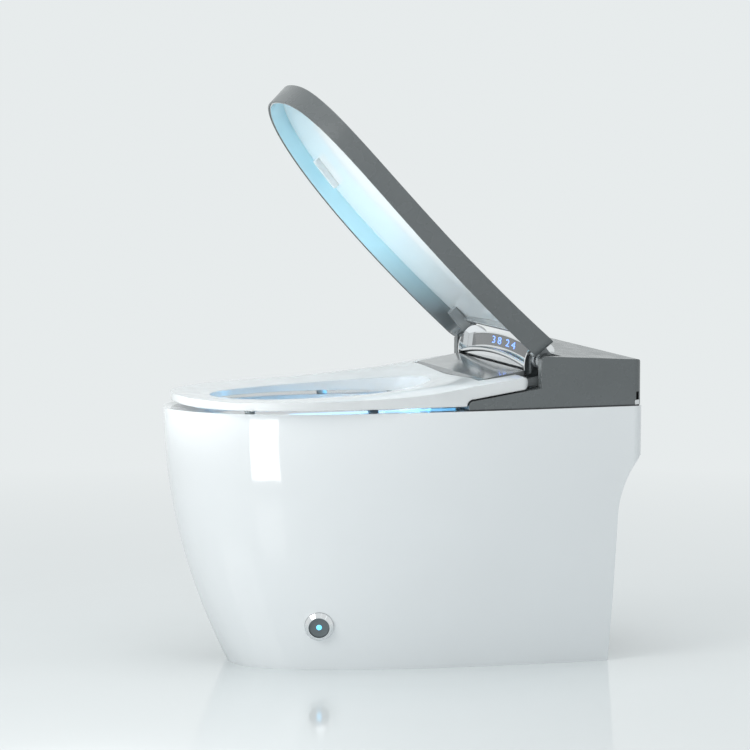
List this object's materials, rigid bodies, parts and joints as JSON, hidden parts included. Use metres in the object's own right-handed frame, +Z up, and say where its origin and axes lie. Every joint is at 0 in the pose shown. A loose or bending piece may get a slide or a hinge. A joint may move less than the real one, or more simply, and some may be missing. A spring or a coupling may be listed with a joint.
{
  "type": "smart toilet",
  "caption": "Floor-standing skirted smart toilet with hinged lid and heated seat, hinge-line display console, retracting wash nozzle, dryer and side foot switch.",
  "frame": {"origin": "on the floor, under the middle of the bounding box with the lid part open", "axes": "+Z up, +Y towards the wall behind, -Y the front, +X the side with the foot switch"},
  "size_m": [0.396, 0.69, 0.8669],
  "materials": {
    "ceramic": "glossy glaze",
    "housing_grey": "glossy dark grey",
    "apron_grey": "glossy grey",
    "liner_white": "glossy white",
    "arm_grey": "glossy grey",
    "seat_white": "glossy white",
    "chrome": "bright",
    "display_black": "glossy black window",
    "button_grey": "satin grey",
    "blue_light": "translucent blue",
    "soft_rubber": "matte",
    "pale_rubber": "matte white",
    "steel": "machined",
    "tray_black": "satin black",
    "inner_white": "satin white",
    "nozzle_white": "glossy white",
    "board_green": "satin green",
    "brass": "turned",
    "foil": "foil"
  },
  "bodies": {
    "pan_and_housing": {"bowl_light": "blue_light", "chassis_tray": "tray_black", "control_board": "board_green", "cord_gland": "soft_rubber", "deck_gasket": "soft_rubber", "display_bezel": "chrome", "display_board": "board_green", "display_lens": "display_black", "drain_seal": "soft_rubber", "dryer_duct": "inner_white", "dryer_fan_case": "inner_white", "dryer_fan_motor": "tray_black", "flush_hose": "soft_rubber", "flush_pump": "inner_white", "foot_switch_bezel": "chrome", "foot_switch_cap": "tray_black", "foot_switch_nut": "tray_black", "foot_switch_spring": "steel", "front_apron": "apron_grey", "hinge_trim_left": "chrome", "hinge_trim_right": "chrome", "inlet_pipe": "brass", "inlet_valve": "inner_white", "lid_drive": "tray_black", "mounting_bolts": "steel", "mounting_nuts": "steel", "nozzle_guide": "inner_white", "nozzle_motor": "tray_black", "pan_bowl": "ceramic", "pan_deck": "ceramic", "pan_skirt": "ceramic", "pan_trapway": "ceramic", "power_module": "tray_black", "rear_cover": "housing_grey", "seat_drive": "tray_black", "service_plug": "seat_white", "water_heater": "inner_white"},
    "lid": {"lid_shell": "housing_grey", "lid_liner": "liner_white", "lid_bumpers": "pale_rubber", "lid_arm_left": "arm_grey", "lid_arm_right": "arm_grey", "lid_shaft": "steel"},
    "seat": {"seat_top": "seat_white", "seat_base": "seat_white", "seat_heater": "foil", "seat_arm_left": "housing_grey", "seat_arm_right": "housing_grey", "seat_buffers": "pale_rubber", "seat_shaft": "steel"},
    "nozzle": {"nozzle_tip": "nozzle_white", "wash_nozzle": "nozzle_white"},
    "fan_rotor": {"dryer_fan_rotor": "inner_white"},
    "foot_button": {"foot_switch_button": "button_grey", "foot_switch_light": "blue_light"}
  },
  "joints": [
    {"name": "lid_hinge", "type": "hinge", "parent": "pan_and_housing", "child": "lid", "pos_m": [0, 0.2, 0.456], "axis": [-1, 0, 0], "range_deg": [-50.6, 52]},
    {"name": "seat_hinge", "type": "hinge", "parent": "pan_and_housing", "child": "seat", "pos_m": [0, 0.2, 0.456], "axis": [-1, 0, 0], "range_deg": [0, 46]},
    {"name": "nozzle_slide", "type": "slide", "parent": "pan_and_housing", "child": "nozzle", "axis": [0, -0.9659, -0.2588], "range_m": [0, 0.11]},
    {"name": "dryer_fan_spin", "type": "hinge", "parent": "pan_and_housing", "child": "fan_rotor", "pos_m": [0.074, 0.27, 0.41], "axis": [0, 0, 1], "continuous": true},
    {"name": "foot_switch_press", "type": "slide", "parent": "pan_and_housing", "child": "foot_button", "axis": [-0.9226, 0.3239, 0.2095], "range_m": [0, 0.003], "stiffness_N_per_m": 2500, "springref_m": -0.001, "deforming": ["foot_switch_spring"]}
  ]
}
